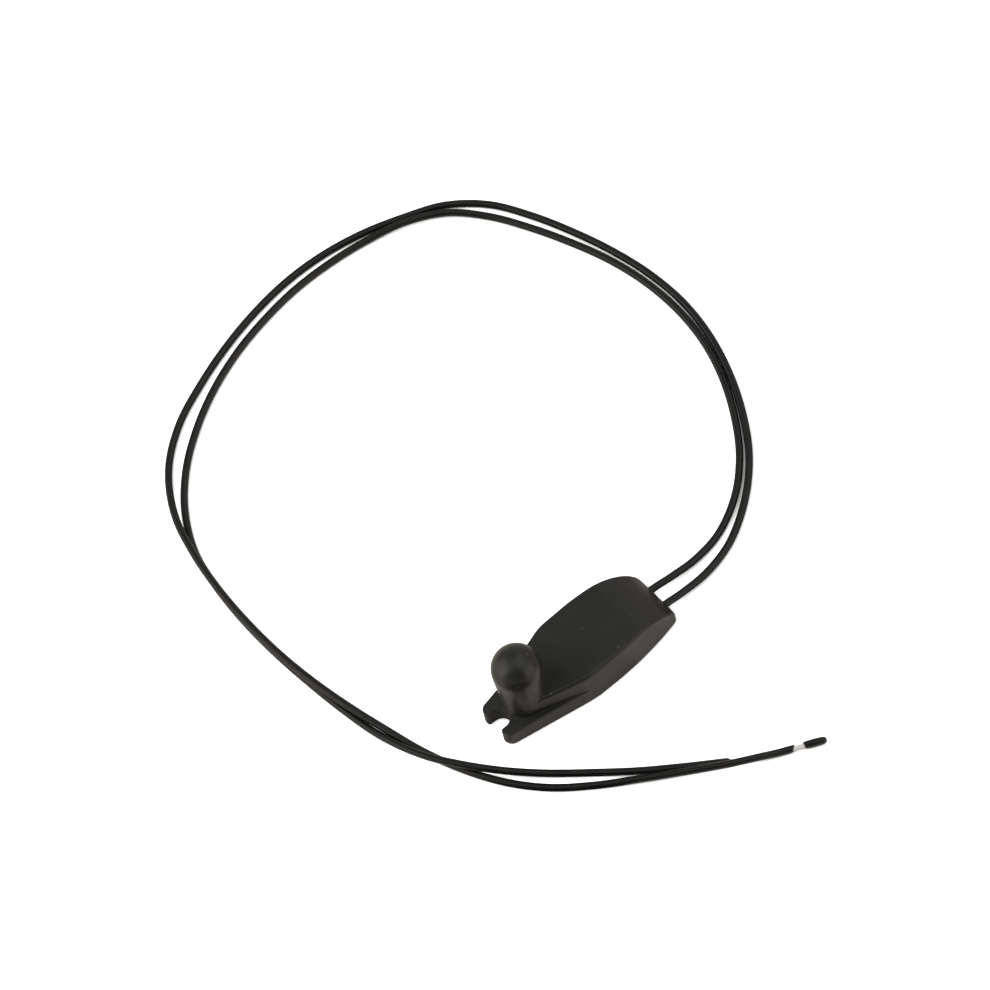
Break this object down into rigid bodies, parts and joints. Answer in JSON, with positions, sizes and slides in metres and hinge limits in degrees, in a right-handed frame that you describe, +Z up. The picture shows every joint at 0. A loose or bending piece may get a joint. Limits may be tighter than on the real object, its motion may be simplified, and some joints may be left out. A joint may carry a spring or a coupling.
{
  "type": "air temperature sensor",
  "caption": "Potted black plastic air temperature sensor: slotted flat tongue, raised block, upright domed bulb, rounded nose and two free wires lying in a loop.",
  "frame": {"origin": "middle of the housing's underside, on the surface that it stands on", "axes": "+X runs along the housing from the slotted tongue to the cable end, +Y is across it towards the wires' loop, +Z is up along the bulb"},
  "size_m": [0.1105, 0.1557, 0.0207],
  "materials": {
    "housing_plastic": "satin moulded, fine grain",
    "resin": "satin cast resin",
    "bead_coating": "dipped, glossy",
    "lead_metal": "tinned, bright",
    "sleeve_plastic": "thin smooth tube",
    "ferrule_metal": "tinned, satin",
    "tinned_copper": "tinned strands",
    "wire_insulation": "extruded, slight sheen"
  },
  "bodies": {
    "root": {"housing": "housing_plastic", "potting": "resin", "thermistor_bead": "bead_coating", "thermistor_lead_a": "lead_metal", "thermistor_lead_b": "lead_metal", "lead_sleeve_a": "sleeve_plastic", "lead_sleeve_b": "sleeve_plastic", "splice_a": "ferrule_metal", "splice_b": "ferrule_metal", "conductor_a": "tinned_copper", "conductor_b": "tinned_copper", "wire_a": "wire_insulation", "wire_b": "wire_insulation", "wire_b_strands": "tinned_copper", "wire_b_slug": "wire_insulation"}
  },
  "joints": []
}
